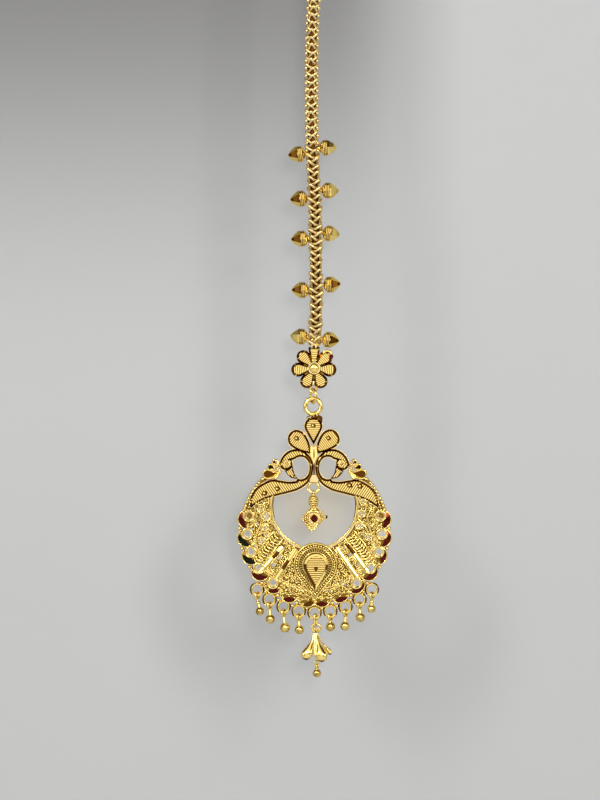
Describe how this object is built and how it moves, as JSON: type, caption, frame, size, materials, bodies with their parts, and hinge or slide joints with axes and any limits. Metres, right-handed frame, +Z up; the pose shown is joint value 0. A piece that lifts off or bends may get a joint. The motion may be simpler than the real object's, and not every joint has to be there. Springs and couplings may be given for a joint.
{
  "type": "maang tikka",
  "caption": "Hanging maang tikka: wire hook, foxtail chain with side beads, petalled flower, and a filigree crescent pendant with two birds, edge rings, ball drops and a bell drop.",
  "frame": {"origin": "inside of the hook's bend, where the jewel hangs", "axes": "+Z up along the hanging chain, -Y the front that faces the viewer, +X to the viewer's right"},
  "size_m": [0.0306, 0.0058, 0.1704],
  "materials": {
    "plain_gold_wire": "drawn wire, gold plated, smooth and bright",
    "chain_gold": "gold-plated foxtail links, darker in their gaps",
    "polished_gold": "high polish gold plate",
    "engraved_gold": "satin gold plate with cut engraving lines",
    "filigree_gold": "gold-plated wire and grain filigree"
  },
  "bodies": {
    "chain_assembly": {"hair_hook": "plain_gold_wire", "chain": "chain_gold", "side_bead_1_left": "polished_gold", "side_bead_1_right": "polished_gold", "side_bead_2_left": "polished_gold", "side_bead_2_right": "polished_gold", "side_bead_3_left": "polished_gold", "side_bead_3_right": "polished_gold", "side_bead_4_left": "polished_gold", "side_bead_4_right": "polished_gold", "side_bead_5_left": "polished_gold", "side_bead_5_right": "polished_gold", "flower": "engraved_gold"},
    "link": {"pendant_link": "plain_gold_wire"},
    "pendant_assembly": {"pendant": "filigree_gold", "diamond_drop": "polished_gold", "ball_drop_1": "polished_gold", "ball_drop_2": "polished_gold", "ball_drop_3": "polished_gold", "ball_drop_4": "polished_gold", "ball_drop_5": "polished_gold", "ball_drop_6": "polished_gold", "ball_drop_7": "polished_gold", "ball_drop_8": "polished_gold", "bell_link": "plain_gold_wire", "bell": "polished_gold", "bell_ball": "polished_gold"}
  },
  "joints": [
    {"name": "link_swing", "type": "hinge", "parent": "chain_assembly", "child": "link", "pos_m": [-0.00028, 0, -0.11242], "axis": [1, 0, 0], "range_deg": [-40, 40]},
    {"name": "pendant_sway", "type": "hinge", "parent": "link", "child": "pendant_assembly", "pos_m": [-0.00028, 0, -0.11456], "axis": [0, 1, 0], "range_deg": [-50, 50]}
  ]
}
